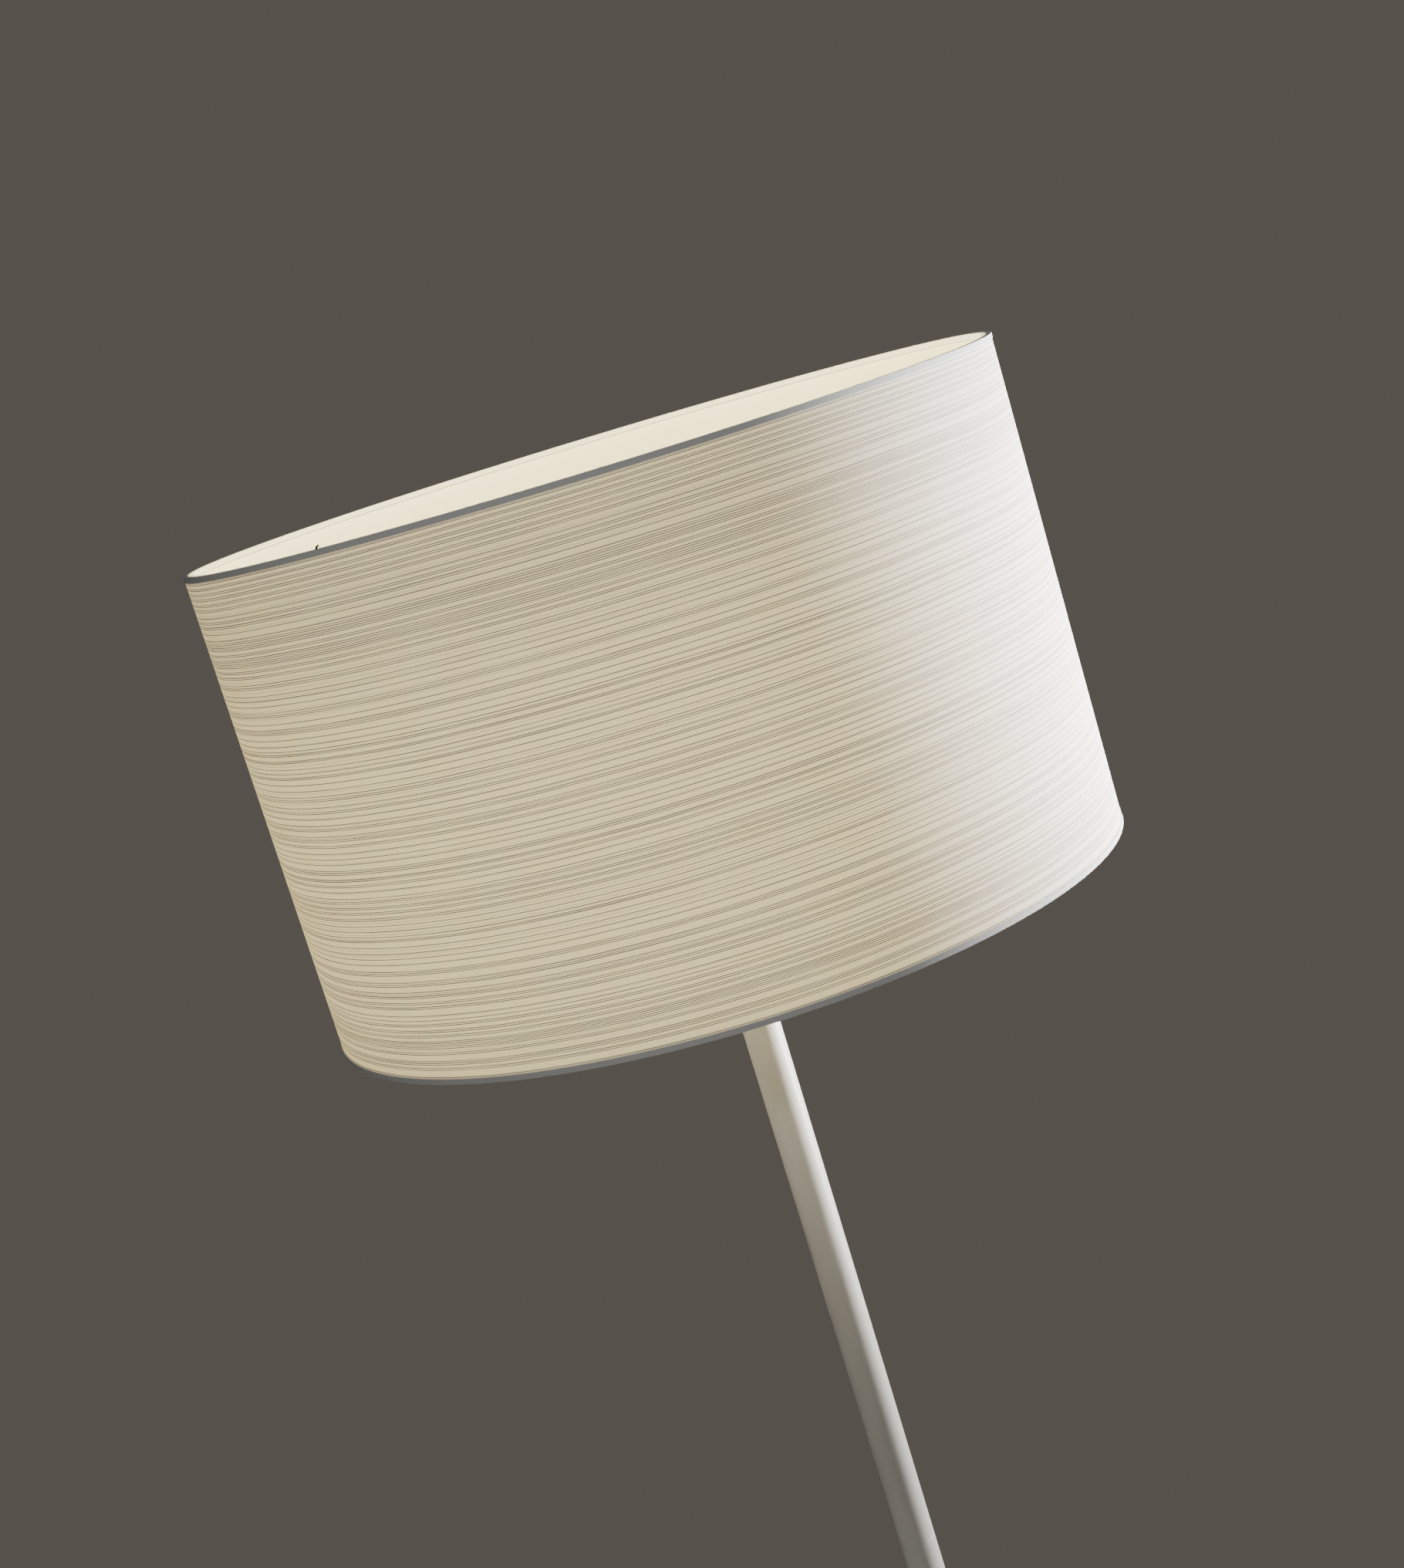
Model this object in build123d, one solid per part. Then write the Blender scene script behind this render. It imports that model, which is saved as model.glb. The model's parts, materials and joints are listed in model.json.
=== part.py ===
from build123d import *
import os
from math import cos, radians, sin

os.makedirs("parts", exist_ok=True)

# Tripod floor lamp. A long tapered pole leans back from its foot and carries a drum shade square to it.
# Two front legs fold on a hub part-way up the pole. Lengths are in mm, angles in degrees.
# The floor is Z = 0, the pole leans towards -X, and the lamp is laid out either side of the XZ plane.
# A size called "at" is a distance along the pole's axis, up from the floor.

# Stance
pole_lean = 20.0
pole_top_at = 1278.0
pole_joint_at = 937.0
leg_joint_at = 460.0
hub_at = 850.0
front_leg_reach = 260.0
front_leg_spread = 250.0

# Tapered tube, the same stock in the pole and the legs
tube_foot_diameter = 16.6
tube_taper = 0.0028
tube_wall = 1.2
tube_end_gap = 10.0
edge_break = 0.3

# Screwed section joints
stud_plug_length = 24.0
stud_length = 17.0
insert_length = 26.0
pole_stud_radius = 6.0
leg_stud_radius = 4.0
lead_bore_radius = 3.4
thread_clearance = 0.05

# Feet
foot_radius = 12.0
foot_neck_radius = 10.6
foot_height = 34.0
foot_base_height = 12.0
foot_base_depth = 30.0
foot_shoulder = 3.0
foot_edge = 1.0

# Lead outlet in the pole's lower end
outlet_at = 92.0
outlet_neck_radius = 4.2
outlet_flange_radius = 6.3
outlet_lip_radius = 5.0
outlet_bore_radius = 3.2
outlet_flange_height = 1.6
outlet_lip_height = 2.3

# Hub and folding front legs
hub_radius = 15.6
hub_length = 52.0
hub_edge = 1.6
pivot_offset = 27.0
boss_radius = 18.0
boss_root_radius = 14.0
boss_edge = 1.4
tongue_thickness = 8.0
tongue_width = 14.0
eye_radius = 10.5
side_gap = 0.3
neck_start = 24.0
neck_end = 34.0
neck_shoulder = 4.0
neck_overlap = 1.0
plug_length = 30.0
bolt_radius = 4.0
bolt_end_clearance = 1.2
bolt_head_radius = 8.0
bolt_head_height = 4.6
bolt_head_round = 2.6
bolt_hex = 5.0
bolt_hex_depth = 2.8
washer_radius = 9.2
washer_thickness = 1.2
running_clearance = 0.06
stop_lug_width = 4.0
stop_lug_low = 15.0
stop_lug_high = 9.2
stop_lug_root = 2.0
set_screw_radius = 2.5
set_screw_spacing = 28.0
set_screw_hex = 2.5
set_screw_hex_depth = 2.0
set_screw_recess = 0.5

# Lamp holder, measured up from the pole's top
top_plug_length = 22.0
nipple_radius = 5.0
nipple_bore_radius = 3.2
nipple_depth = 18.0
nipple_rise = 9.0
nut_across_flats = 14.0
nut_height = 3.0
cap_neck_inset = 0.5
cap_neck_height = 2.0
cap_flare_height = 12.0
cap_height = 24.0
cap_wall = 1.0
shell_radius = 16.6
shell_wall = 1.0
shell_overlap = 6.0
seat_height = 20.0
seat_radius = 23.0
seat_thickness = 2.0
seat_edge = 2.0
seat_flare_height = 3.0
neck_radius = 19.5
neck_height = 16.0
neck_edge = 1.0
body_recess = 3.0
body_floor_drop = 4.0
contact_floor_at = 32.0
screw_shell_radius = 13.8
screw_shell_wall = 0.4
screw_shell_height = 23.0
screw_shell_hole_radius = 6.0
contact_radius = 3.6
contact_height = 1.6
terminal_radius = 2.0
terminal_length = 3.0
terminal_offset = 11.0

# Rotary switch
switch_at = 27.0
shaft_radius = 1.6
shaft_length = 26.0
rotor_radius = 3.2
rotor_length = 5.0
rotor_gap = 0.3
rotor_start = 2.5
knob_radius = 5.4
knob_rib_radius = 0.7
knob_ribs = 14
knob_start = 18.6
knob_length = 13.0

# Bulb
bulb_radius = 30.0
bulb_length = 106.0
bulb_wall = 0.9
bulb_neck_radius = 12.4
bulb_cap_radius = 13.2
bulb_cap_wall = 0.5
bulb_cap_height = 22.0
bulb_cap_edge = 1.0
bulb_glass_start = 6.0
bulb_neck_straight = 12.0
bulb_neck_curve = 0.75
bulb_button_radius = 4.4
bulb_button_height = 1.2
bulb_insulator_height = 4.0
bulb_insulator_foot_radius = 5.4
bulb_insulator_rim_radius = 11.7
bulb_flare_angle = 35.0

# Drum shade
shade_diameter = 406.0
shade_height = 244.0
cover_thickness = 0.6
liner_thickness = 0.5
wire_radius = 1.5
trim_thickness = 0.4
trim_height = 2.2
seam_width = 9.0
seam_thickness = 0.3
seam_bearing = 24.0

# Shade fitter
fitter_rise = 32.0
fitter_ring_radius = 28.0
fitter_ring_thickness = 1.6
fitter_clearance = 0.2
fitter_arms = 3
arm_radius = 1.6
ring_nut_radius = 24.6
ring_nut_height = 7.0
ring_nut_rib_radius = 1.0
ring_nut_ribs = 24

# Worked out from the sizes above
shade_radius = shade_diameter / 2
trimmed_radius = shade_radius + trim_thickness
seat_at = pole_top_at + cap_height + seat_height
shade_bottom_at = seat_at - fitter_rise
shade_top_at = shade_bottom_at + shade_height
liner_outer = shade_radius - cover_thickness
liner_inner = liner_outer - liner_thickness
wire_ring_radius = liner_inner - wire_radius
lean = radians(pole_lean)
rear_edge = foot_radius / cos(lean)
front_edge = (shade_top_at + trim_thickness) * sin(lean) + trimmed_radius * cos(lean)
pole_foot_x = (front_edge - rear_edge) / 2
hub_centre = Vector(pole_foot_x - hub_at * sin(lean), 0, hub_at * cos(lean))
down_pole = Vector(sin(lean), 0, -cos(lean))
down_leg = Vector(-front_leg_reach, front_leg_spread, -hub_centre.Z).normalized()
pivot_axis = down_pole.cross(down_leg).normalized()
pivot = hub_centre + pivot_axis * pivot_offset
leg_length = pivot.Z / -down_leg.Z
pivot_frame = Plane(origin=hub_centre, z_dir=pivot_axis)
leg_frame = Plane(origin=pivot, x_dir=pivot_axis, z_dir=-down_leg)
from_base = (Align.CENTER, Align.CENTER, Align.MIN)


def tube_radius(distance):
    """Outer radius of the tapered stock at a distance from its sole."""
    return (tube_foot_diameter + tube_taper * distance) / 2


def bore_radius(distance):
    return tube_radius(distance) - tube_wall


def turned(*outline):
    """A solid turned about Z from a closed outline of (radius, height) points."""
    face = make_face(Polyline(*[(radius, 0, height) for radius, height in outline], close=True))
    return revolve(face, axis=Axis.Z)


def disc(radius, low, high):
    return Pos(0, 0, low) * Cylinder(radius, high - low, align=from_base)


def ring(inner, outer, low, high):
    return disc(outer, low, high) - disc(inner, low, high)


def hexagon(across_flats, low, high):
    return Pos(0, 0, low) * extrude(RegularPolygon(across_flats / 2, 6, major_radius=False), high - low)


def rod(start, end, radius):
    """A round bar between two points."""
    run = Vector(*end) - Vector(*start)
    return Plane(origin=start, z_dir=run) * Cylinder(radius, run.length, align=from_base)


def ribbed(radius, rib_radius, ribs, low, high):
    """A grip with half-round ribs along it."""
    grip = disc(radius, low, high)
    for rib in range(ribs):
        turn = 360 * rib / ribs
        grip += Rot(0, 0, turn) * Pos(radius, 0, 0) * disc(rib_radius, low + rib_radius, high - rib_radius)
    return grip


def on_pole(shape):
    """Move a shape from the pole's own axis, foot at the origin, to its leaning place."""
    return Pos(pole_foot_x, 0, 0) * Rot(0, -pole_lean, 0) * shape


def on_holder(shape):
    """Move a shape measured from the pole's top."""
    return on_pole(Pos(0, 0, pole_top_at) * shape)


def on_shade(shape):
    """Move a shape measured from the shade's lower edge."""
    return on_pole(Pos(0, 0, shade_bottom_at) * shape)


def other_side(shape):
    return mirror(shape, about=Plane.XZ)


def save(node, shape):
    solids = shape.solids()
    export_step(solids[0] if len(solids) == 1 else Compound(children=solids), "parts/" + node + ".step")


def tube(low, high):
    """A length of the tapered stock, its ends broken so that a joint shows as a hairline."""
    return turned(
        (bore_radius(low), low),
        (tube_radius(low) - edge_break, low),
        (tube_radius(low + edge_break), low + edge_break),
        (tube_radius(high - edge_break), high - edge_break),
        (tube_radius(high) - edge_break, high),
        (bore_radius(high), high),
    )


def plug(low, high):
    """The solid that fills the tapered stock's bore."""
    return turned((0, low), (bore_radius(low), low), (bore_radius(high), high), (0, high))


def stock(low, high):
    """The tapered stock as if it were solid."""
    return turned((0, low), (tube_radius(low), low), (tube_radius(high), high), (0, high))


def joint_insert(joint, thread_radius):
    """The tapped bush in the top end of the lower tube."""
    bush = plug(joint - insert_length, joint)
    return bush - disc(thread_radius + thread_clearance, joint - insert_length, joint)


def joint_stud(joint, thread_radius, bore):
    """The stud in the bottom end of the upper tube, hollow where the lead runs through it."""
    stud = plug(joint, joint + stud_plug_length) + disc(thread_radius, joint - stud_length, joint)
    if bore:
        stud -= disc(bore, joint - stud_length, joint + stud_plug_length)
    return stud


def foot_blank():
    """A rubber tip over a tube's end, before its sole is cut level."""
    base = disc(foot_radius, -foot_base_depth, foot_base_height)
    shoulder = turned(
        (0, foot_base_height),
        (foot_radius, foot_base_height),
        (foot_neck_radius, foot_base_height + foot_shoulder),
        (foot_neck_radius, foot_height - foot_edge),
        (foot_neck_radius - foot_edge, foot_height),
        (0, foot_height),
    )
    return base + shoulder - stock(tube_end_gap, foot_height)


def level_sole(foot):
    """The foot with everything under the floor cut away."""
    return split(foot, Plane.XY, keep=Keep.TOP)


def outlet_cylinder(radius, start, end):
    """A radial cylinder on the back of the pole at the lead outlet."""
    return rod((start, 0, outlet_at), (end, 0, outlet_at), radius)


def build_pole():
    """The leaning pole's three tubes, their screwed joints and its foot."""
    lower = tube(tube_end_gap, leg_joint_at)
    outlet = outlet_cylinder(outlet_neck_radius, 0, tube_radius(outlet_at) * 2)
    save("rear_leg_lower", on_pole(lower - outlet))
    save("rear_leg_upper", on_pole(tube(leg_joint_at, pole_joint_at)))
    save("upper_pole", on_pole(tube(pole_joint_at, pole_top_at)))
    save("rear_leg_insert", on_pole(joint_insert(leg_joint_at, pole_stud_radius)))
    save("rear_leg_stud", on_pole(joint_stud(leg_joint_at, pole_stud_radius, lead_bore_radius)))
    save("pole_insert", on_pole(joint_insert(pole_joint_at, pole_stud_radius)))
    save("pole_stud", on_pole(joint_stud(pole_joint_at, pole_stud_radius, lead_bore_radius)))
    save("rear_foot", level_sole(on_pole(foot_blank())))


def build_outlet():
    """The grommet where the lead leaves the pole."""
    outer = tube_radius(outlet_at)
    inner = bore_radius(outlet_at)
    span = outlet_flange_radius * 2
    low = outlet_at - span
    high = outlet_at + span
    lip_start = inner - outlet_lip_height
    flange = outlet_cylinder(outlet_flange_radius, outer / 2, outer + outlet_flange_height) - stock(low, high)
    neck = outlet_cylinder(outlet_neck_radius, lip_start, outer + outlet_flange_height)
    lip = outlet_cylinder(outlet_lip_radius, lip_start, outer) & plug(low, high)
    bore = outlet_cylinder(outlet_bore_radius, 0, outer * 2)
    save("lead_grommet", on_pole(flange + neck + lip - bore))


def pivot_disc(radius, start, end):
    """A cylinder along the left leg's pivot, measured outwards from the pole's axis."""
    return pivot_frame * disc(radius, start, end)


def build_hub():
    """The collar on the pole with a boss and a stop lug for each front leg, and its set screws."""
    half = hub_length / 2
    collar = turned(
        (0, hub_at - half),
        (hub_radius - hub_edge, hub_at - half),
        (hub_radius, hub_at - half + hub_edge),
        (hub_radius, hub_at + half - hub_edge),
        (hub_radius - hub_edge, hub_at + half),
        (0, hub_at + half),
    )
    pole_hole = stock(hub_at - half, hub_at + half)
    boss_face = pivot_offset - tongue_thickness / 2 - side_gap
    lug_face = pivot_offset + tongue_thickness / 2
    boss = pivot_frame * turned(
        (0, 0),
        (boss_root_radius, 0),
        (boss_radius, boss_face / 2),
        (boss_radius, boss_face - boss_edge),
        (boss_radius - boss_edge, boss_face),
        (0, boss_face),
    )
    lug_side = tongue_width / 2 + side_gap
    lug_start = boss_face - stop_lug_root
    lug_size = (lug_face - lug_start, stop_lug_width, stop_lug_low - stop_lug_high)
    lug = Box(*lug_size, align=(Align.MIN, Align.MIN, Align.MIN))
    lug = leg_frame * Pos(lug_start - pivot_offset, lug_side, -stop_lug_low) * lug
    lug = lug & pivot_disc(boss_radius - boss_edge, 0, lug_face)
    side = boss + lug
    bolt_start = tube_radius(hub_at) + bolt_end_clearance
    bolt_hole = pivot_disc(bolt_radius, bolt_start, boss_face)
    hub = on_pole(collar) + side + other_side(side) - on_pole(pole_hole)
    hub = hub - bolt_hole - other_side(bolt_hole)
    screws = []
    for height in (hub_at - set_screw_spacing / 2, hub_at + set_screw_spacing / 2):
        hole = on_pole(rod((0, 0, height), (hub_radius * 2, 0, height), set_screw_radius))
        hub -= hole
        screw_end = (hub_radius - set_screw_recess, 0, height)
        screw = rod((tube_radius(height), 0, height), screw_end, set_screw_radius)
        screw -= Plane(origin=screw_end, z_dir=(-1, 0, 0)) * hexagon(set_screw_hex, 0, set_screw_hex_depth)
        tube_side = stock(height - set_screw_radius * 2, height + set_screw_radius * 2)
        screws.append(on_pole(screw - tube_side))
    save("tripod_hub", hub)
    save("hub_set_screws", Compound(children=screws))
    return bolt_start


def build_pivots(bolt_start):
    """The bolt each front leg turns on, and the washer under its head."""
    washer_start = pivot_offset + tongue_thickness / 2 + side_gap
    head_start = washer_start + washer_thickness
    head_end = head_start + bolt_head_height
    washer = pivot_frame * ring(bolt_radius, washer_radius, washer_start, head_start)
    head = disc(bolt_head_radius, head_start, head_end)
    head = fillet(head.edges().sort_by(Axis.Z)[-1], bolt_head_round)
    shank = disc(bolt_radius, bolt_start, head_start)
    bolt = pivot_frame * (shank + head - hexagon(bolt_hex, head_end - bolt_hex_depth, head_end))
    save("pivot_bolts", Compound(children=[bolt, other_side(bolt)]))
    save("pivot_washers", Compound(children=[washer, other_side(washer)]))


def leg_knuckle():
    """The flat tongue, eye and round neck at a front leg's top, the pivot at the origin."""
    shoulder = leg_length - neck_end
    tongue = Rot(0, 90, 0) * Cylinder(eye_radius, tongue_thickness)
    tongue += Pos(0, 0, -neck_start) * Box(tongue_thickness, tongue_width, neck_start, align=from_base)
    neck_top = neck_overlap - neck_start
    neck = turned(
        (0, -neck_end),
        (tube_radius(shoulder) - edge_break, -neck_end),
        (tube_radius(shoulder), -neck_end + edge_break),
        (tube_radius(shoulder), neck_top - neck_shoulder),
        (tongue_width / 2, neck_top),
        (0, neck_top),
    )
    spigot = turned(
        (0, -neck_end - plug_length),
        (bore_radius(shoulder - plug_length), -neck_end - plug_length),
        (bore_radius(shoulder), -neck_end),
        (0, -neck_end),
    )
    bolt_hole = Rot(0, 90, 0) * Cylinder(bolt_radius + running_clearance, tongue_thickness * 2)
    return tongue + neck + spigot - bolt_hole


def build_front_legs():
    """Two tubes, their screwed joint, a knuckle and a foot for the left leg, and the same mirrored."""
    to_pivot = Pos(0, 0, -leg_length)
    pieces = {
        "leg_upper": leg_frame * to_pivot * tube(leg_joint_at, leg_length - neck_end),
        "leg_lower": leg_frame * to_pivot * tube(tube_end_gap, leg_joint_at),
        "leg_insert": leg_frame * to_pivot * joint_insert(leg_joint_at, leg_stud_radius),
        "leg_stud": leg_frame * to_pivot * joint_stud(leg_joint_at, leg_stud_radius, 0),
        "leg_knuckle": leg_frame * leg_knuckle(),
        "foot": level_sole(leg_frame * to_pivot * foot_blank()),
    }
    for name, piece in pieces.items():
        save("left_" + name, piece)
        save("right_" + name, other_side(piece))


def build_holder():
    """The plug in the pole's top, the nipple, and the socket screwed on it."""
    body_low = cap_height - body_floor_drop
    holder_top = cap_height + seat_height + neck_height
    plug_low = pole_top_at - top_plug_length
    top_plug = plug(plug_low, pole_top_at) - disc(nipple_radius, plug_low, pole_top_at)
    save("pole_top_plug", on_pole(top_plug))
    save("lamp_nipple", on_holder(ring(nipple_bore_radius, nipple_radius, -nipple_depth, nipple_rise)))
    nut = hexagon(nut_across_flats, cap_wall, cap_wall + nut_height)
    save("nipple_nut", on_holder(nut - disc(nipple_radius, cap_wall, cap_wall + nut_height)))
    cap_neck_radius = tube_radius(pole_top_at) - cap_neck_inset
    cap = turned(
        (nipple_radius, 0),
        (cap_neck_radius, 0),
        (cap_neck_radius, cap_neck_height),
        (shell_radius + cap_wall, cap_flare_height),
        (shell_radius + cap_wall, cap_height),
        (shell_radius, cap_height),
        (shell_radius, cap_flare_height),
        (cap_neck_radius - cap_wall, cap_neck_height),
        (cap_neck_radius - cap_wall, cap_wall),
        (nipple_radius, cap_wall),
    )
    save("socket_cap", on_holder(cap))
    seat = cap_height + seat_height
    bore = shell_radius - shell_wall
    shell = turned(
        (bore, cap_height - shell_overlap),
        (shell_radius, cap_height - shell_overlap),
        (shell_radius, seat - seat_thickness - seat_flare_height),
        (seat_radius - seat_edge, seat - seat_thickness),
        (seat_radius, seat - seat_thickness),
        (seat_radius, seat),
        (neck_radius, seat),
        (neck_radius, holder_top - neck_edge),
        (neck_radius - neck_edge, holder_top),
        (bore, holder_top),
    )
    shaft_hole = rod((0, 0, switch_at), (seat_radius * 2, 0, switch_at), shaft_radius + running_clearance)
    save("socket_shell", on_holder(shell - shaft_hole))
    body = disc(bore, body_low, holder_top - body_recess)
    body -= disc(screw_shell_radius, contact_floor_at, holder_top)
    body -= shaft_hole
    cavity_end = rotor_start + rotor_length + rotor_gap
    body -= rod((rotor_start - rotor_gap, 0, switch_at), (cavity_end, 0, switch_at), rotor_radius + rotor_gap)
    save("socket_body", on_holder(body))
    screw_shell = disc(screw_shell_radius, contact_floor_at, contact_floor_at + screw_shell_height)
    inside = screw_shell_radius - screw_shell_wall
    screw_shell -= disc(inside, contact_floor_at + screw_shell_wall, contact_floor_at + screw_shell_height)
    screw_shell -= disc(screw_shell_hole_radius, contact_floor_at, contact_floor_at + screw_shell_wall)
    save("socket_screw_shell", on_holder(screw_shell))
    contact_top = contact_floor_at + contact_height
    save("socket_contact", on_holder(disc(contact_radius, contact_floor_at, contact_top)))
    terminals = []
    terminal = disc(terminal_radius, body_low - terminal_length, body_low)
    for side in (-1, 1):
        terminals.append(on_holder(Pos(0, side * terminal_offset, 0) * terminal))
    save("terminal_screws", Compound(children=terminals))
    return contact_top


def build_switch():
    """The knob turns the shaft and the rotor inside the socket body; its axis points to the back."""
    along = Plane(origin=(0, 0, switch_at), z_dir=(1, 0, 0))
    shaft_end = rotor_start + shaft_length
    save("switch_shaft", on_holder(along * disc(shaft_radius, rotor_start, shaft_end)))
    rotor = ring(shaft_radius, rotor_radius, rotor_start, rotor_start + rotor_length)
    save("switch_rotor", on_holder(along * rotor))
    knob = ribbed(knob_radius, knob_rib_radius, knob_ribs, knob_start, knob_start + knob_length)
    knob -= disc(shaft_radius, knob_start, shaft_end)
    save("switch_knob", on_holder(along * knob))


def envelope(inset, low):
    """The bulb's glass as a solid, drawn in by an inset."""
    radius = bulb_radius - inset
    centre = contact_floor_at + contact_height + bulb_length - bulb_radius
    angle = radians(bulb_flare_angle)
    joins = Vector(radius * cos(angle), 0, centre - radius * sin(angle))
    neck = bulb_neck_radius - inset
    straight = contact_floor_at + contact_height + bulb_cap_height + bulb_neck_straight
    corner = Vector(neck, 0, joins.Z - (joins.X - neck) * cos(angle) / sin(angle) * bulb_neck_curve)
    outline = [
        Line((0, 0, low), (neck, 0, low)),
        Line((neck, 0, low), (neck, 0, straight)),
        Bezier((neck, 0, straight), corner, joins),
        ThreePointArc(joins, (radius, 0, centre), (0, 0, centre + radius)),
        Line((0, 0, centre + radius), (0, 0, low)),
    ]
    return revolve(make_face(Wire(outline)), axis=Axis.Z)


def build_bulb(contact_top):
    """The bulb, from its centre contact up."""
    button_top = contact_top + bulb_button_height
    cap_low = button_top + bulb_insulator_height
    cap_top = cap_low + bulb_cap_height
    save("bulb_contact", on_holder(disc(bulb_button_radius, contact_top, button_top)))
    insulator = turned(
        (0, button_top),
        (bulb_insulator_foot_radius, button_top),
        (bulb_insulator_rim_radius, cap_low),
        (0, cap_low),
    )
    save("bulb_insulator", on_holder(insulator))
    cap = turned(
        (0, cap_low),
        (bulb_cap_radius - bulb_cap_edge, cap_low),
        (bulb_cap_radius, cap_low + bulb_cap_edge),
        (bulb_cap_radius, cap_top),
        (bulb_neck_radius, cap_top),
        (bulb_neck_radius, cap_low + bulb_cap_wall),
        (0, cap_low + bulb_cap_wall),
    )
    save("bulb_cap", on_holder(cap))
    glass_low = cap_low + bulb_cap_wall + bulb_glass_start
    glass = envelope(0, glass_low) - envelope(bulb_wall, glass_low)
    save("bulb_glass", on_holder(glass))


def edge_trim(turn_over):
    """The folded edging, as a channel open upwards; turned over for the top edge."""
    inner = wire_ring_radius - wire_radius - trim_thickness
    channel = turned(
        (inner, -trim_thickness),
        (trimmed_radius, -trim_thickness),
        (trimmed_radius, trim_height),
        (shade_radius, trim_height),
        (shade_radius, 0),
        (inner + trim_thickness, 0),
        (inner + trim_thickness, trim_height),
        (inner, trim_height),
    )
    if turn_over:
        channel = Pos(0, 0, shade_height) * mirror(channel, about=Plane.XY)
    return channel


def seam(inner, outer, low, high):
    """A strip of a ring, its width the seam's, on the seam's bearing."""
    strip = Box(shade_diameter, seam_width, high - low, align=(Align.MIN, Align.CENTER, Align.MIN))
    strip = Pos(0, 0, low) * strip
    return Rot(0, 0, seam_bearing) * (ring(inner, outer, low, high) & strip)


def build_shade():
    """The drum's cover, lining, wire rings, trims and seams, the fitter across its foot and the ring nut."""
    save("shade_cover", on_shade(ring(liner_outer, shade_radius, 0, shade_height)))
    save("shade_liner", on_shade(ring(liner_inner, liner_outer, 0, shade_height)))
    wire = Torus(wire_ring_radius, wire_radius)
    save("shade_top_ring", on_shade(Pos(0, 0, shade_height - wire_radius) * wire))
    save("top_trim", on_shade(edge_trim(True)))
    outside = seam(shade_radius, shade_radius + seam_thickness, trim_height, shade_height - trim_height)
    save("cover_seam", on_shade(outside))
    clear_of_wire = max(trim_height, 2 * wire_radius) + edge_break
    inside = seam(liner_inner - seam_thickness, liner_inner, clear_of_wire, shade_height - clear_of_wire)
    save("liner_seam", on_shade(inside))
    hub_inner = neck_radius + fitter_clearance
    fitter = ring(hub_inner, fitter_ring_radius, fitter_rise, fitter_rise + fitter_ring_thickness)
    bottom_trim = edge_trim(False)
    arm_start = (fitter_ring_radius - 2 * arm_radius, 0, fitter_rise + fitter_ring_thickness / 2)
    arm_end = (wire_ring_radius, 0, wire_radius)
    for arm in range(fitter_arms):
        bar = Rot(0, 0, 360 * arm / fitter_arms) * rod(arm_start, arm_end, arm_radius)
        fitter += bar
        bottom_trim -= bar
    save("shade_fitter", on_shade(fitter + Pos(0, 0, wire_radius) * wire))
    save("bottom_trim", on_shade(bottom_trim))
    nut_low = fitter_rise + fitter_ring_thickness
    nut_high = nut_low + ring_nut_height
    nut = ribbed(ring_nut_radius, ring_nut_rib_radius, ring_nut_ribs, nut_low, nut_high)
    save("fitter_ring_nut", on_shade(nut - disc(neck_radius, nut_low, nut_high)))


build_pole()
build_outlet()
build_pivots(build_hub())
build_front_legs()
socket_contact_top = build_holder()
build_switch()
build_bulb(socket_contact_top)
build_shade()
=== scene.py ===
import json
import math
import random

import bmesh
import bpy
from mathutils import Matrix, Vector


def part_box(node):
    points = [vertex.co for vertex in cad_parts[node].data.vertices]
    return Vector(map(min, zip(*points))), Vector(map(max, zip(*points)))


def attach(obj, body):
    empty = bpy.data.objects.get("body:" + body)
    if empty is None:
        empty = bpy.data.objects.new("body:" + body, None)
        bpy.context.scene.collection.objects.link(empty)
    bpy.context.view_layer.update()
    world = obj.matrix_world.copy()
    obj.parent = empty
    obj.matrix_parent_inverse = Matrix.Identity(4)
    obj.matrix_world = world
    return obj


# Looks for the tripod floor lamp: materials, fine pieces, lights and the camera.
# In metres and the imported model's frame. A size in MM is written in mm.
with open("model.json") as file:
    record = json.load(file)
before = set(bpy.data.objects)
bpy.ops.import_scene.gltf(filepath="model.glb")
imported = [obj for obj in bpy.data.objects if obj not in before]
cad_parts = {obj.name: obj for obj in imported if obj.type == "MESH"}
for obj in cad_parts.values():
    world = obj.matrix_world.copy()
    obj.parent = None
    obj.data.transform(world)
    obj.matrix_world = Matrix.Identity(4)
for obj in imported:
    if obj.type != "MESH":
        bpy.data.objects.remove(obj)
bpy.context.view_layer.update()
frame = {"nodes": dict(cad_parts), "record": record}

MM = 0.001


# ---------------------------------------------------------------- places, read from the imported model
def centre(node):
    """The middle of a node's box."""
    low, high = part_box(node)
    return (Vector(low) + Vector(high)) / 2


rim_top = centre("top_trim")
rim_bottom = centre("bottom_trim")
shade_axis = (rim_top - rim_bottom).normalized()
lean = math.atan2(-shade_axis.x, shade_axis.z)
shade_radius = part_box("shade_cover")[1][1]
trim_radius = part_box("top_trim")[1][1]
trim_height = 2.2 * MM
trim_thickness = 0.4 * MM
trim_span = (trim_height - trim_thickness) / 2      # from a trim's middle to the shade's edge
shade_low = rim_bottom - shade_axis * trim_span
shade_high = rim_top + shade_axis * trim_span
shade_height = (shade_high - shade_low).length
seam_bearing = math.radians(24.0)
bulb_widest_rise = 17 * MM                # from the middle of the glass up to its widest part
bulb_centre = centre("bulb_glass") + shade_axis * bulb_widest_rise
fitter_arms = 3


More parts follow.
